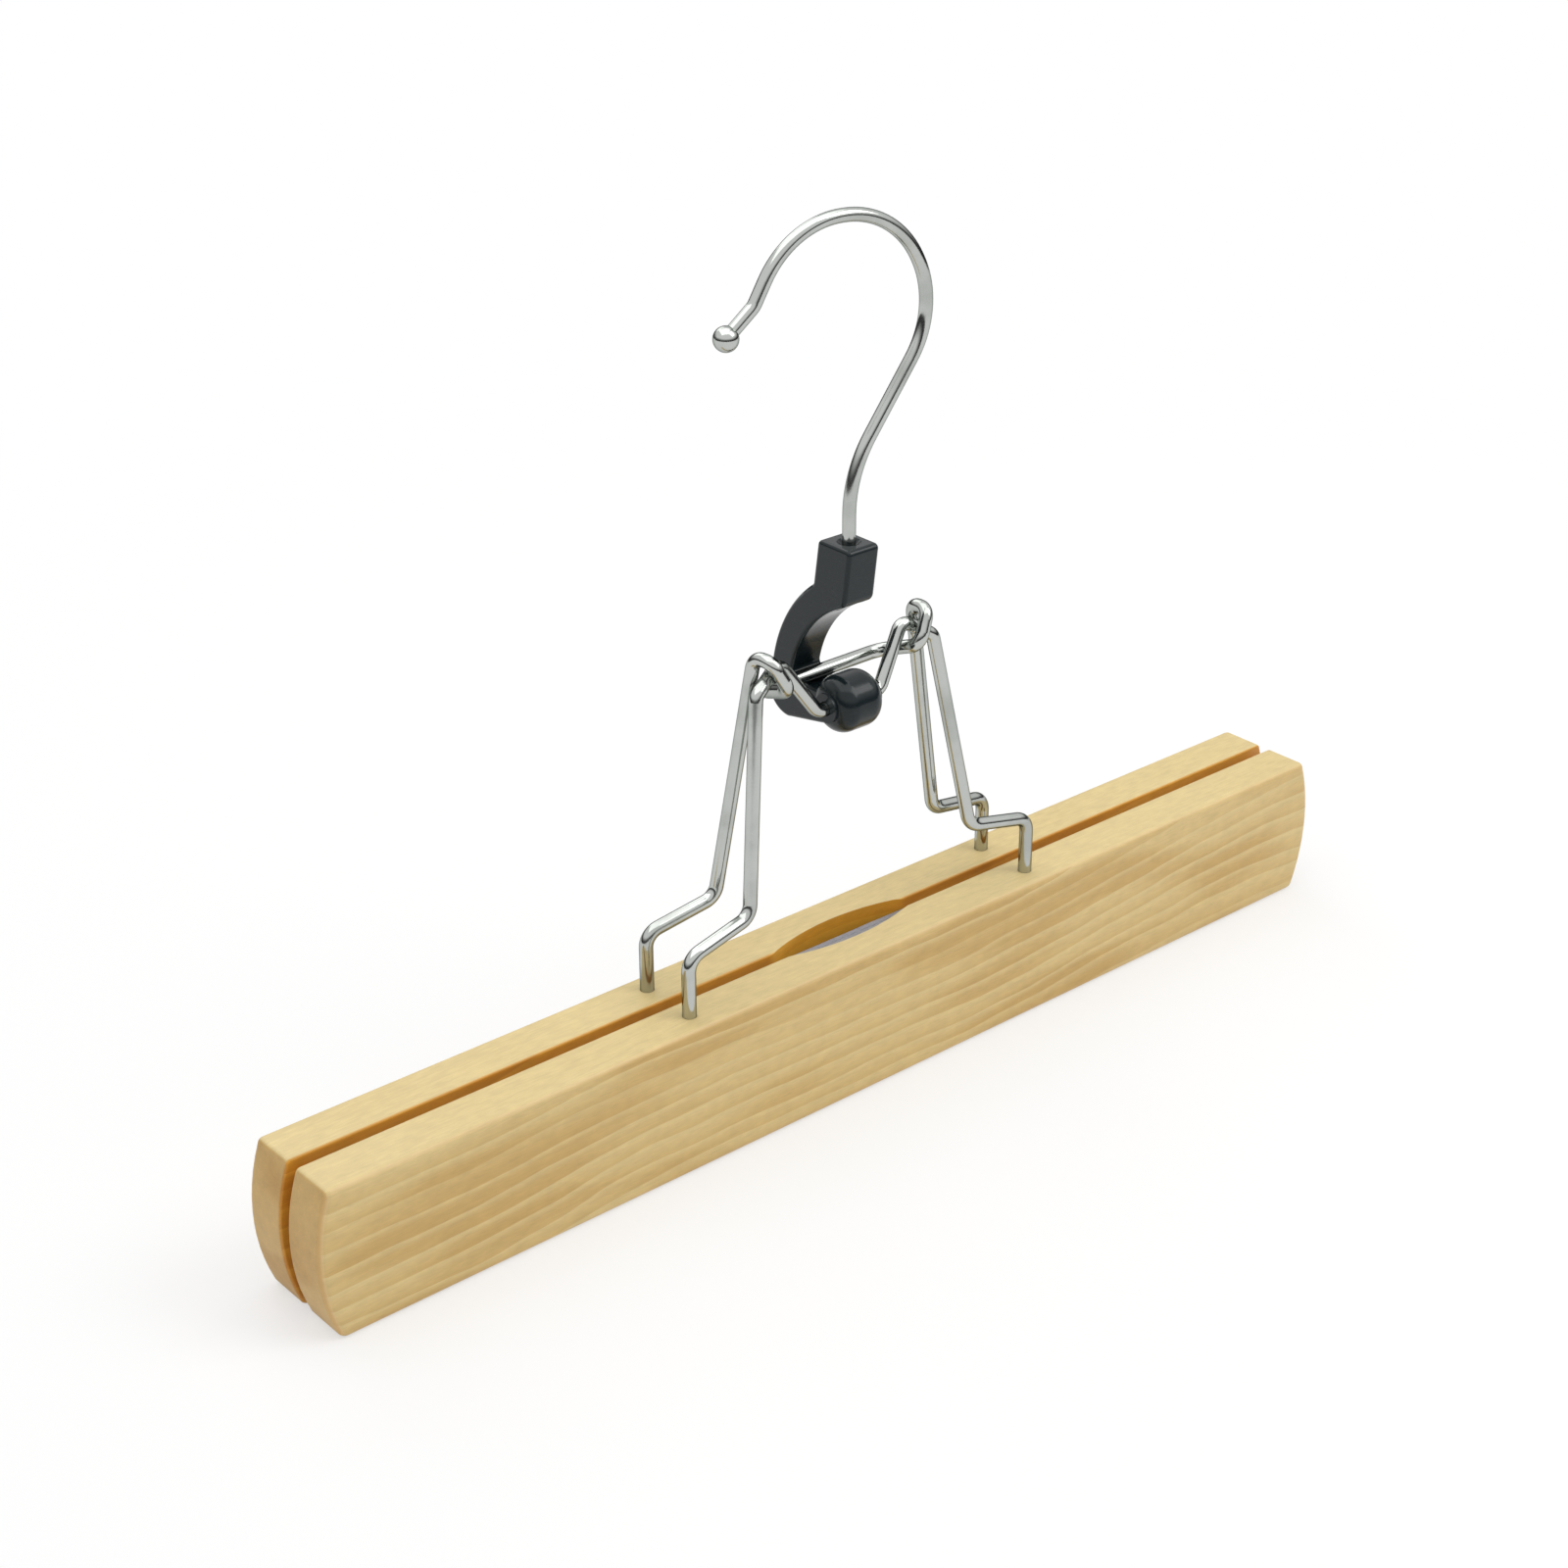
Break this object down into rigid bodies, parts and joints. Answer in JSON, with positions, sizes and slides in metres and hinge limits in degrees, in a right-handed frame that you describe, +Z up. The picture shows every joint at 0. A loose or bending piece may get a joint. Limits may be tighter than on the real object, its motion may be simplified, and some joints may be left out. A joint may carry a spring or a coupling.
{
  "type": "skirt hanger",
  "caption": "Skirt hanger: two felt-lined wooden bars on linked wire frames, clamped by a swinging lock lever under a swivel hook.",
  "frame": {"origin": "on the line where the two felts meet, in the middle of the bars' length, level with the undersides of the bars", "axes": "+X along the bars, +Y from the front bar to the rear bar (the lock lever's arm is on that side), +Z up to the hook"},
  "size_m": [0.3, 0.0346, 0.2036],
  "materials": {
    "wood": "clear lacquer, satin",
    "felt": "grey felt",
    "wire": "bright plated steel wire",
    "lever": "charcoal moulded plastic, semi-gloss",
    "washer": "plain steel"
  },
  "bodies": {
    "front_jaw": {"front_bar": "wood", "front_felt": "felt", "front_wire": "wire"},
    "rear_jaw": {"rear_bar": "wood", "rear_felt": "felt", "rear_wire": "wire"},
    "lever": {"lock_lever": "lever"},
    "hanging_hook": {"hook": "wire", "hook_washer": "washer"}
  },
  "joints": [
    {"name": "lever_pivot", "type": "hinge", "parent": "front_jaw", "child": "lever", "pos_m": [0, -0.0012, 0.09375], "axis": [-1, 0, 0], "range_deg": [0, 85]},
    {"name": "jaw_hinge", "type": "hinge", "parent": "front_jaw", "child": "rear_jaw", "pos_m": [0, 0.0003, 0.1056], "axis": [1, 0, 0], "range_deg": [0, 14]},
    {"name": "hook_swivel", "type": "hinge", "parent": "lever", "child": "hanging_hook", "pos_m": [0, -0.0009, 0.131], "axis": [0, 0, 1], "continuous": true}
  ],
  "couplings": [
    {"joint": "jaw_hinge", "follows": "lever_pivot", "ratio": 0.1645}
  ]
}
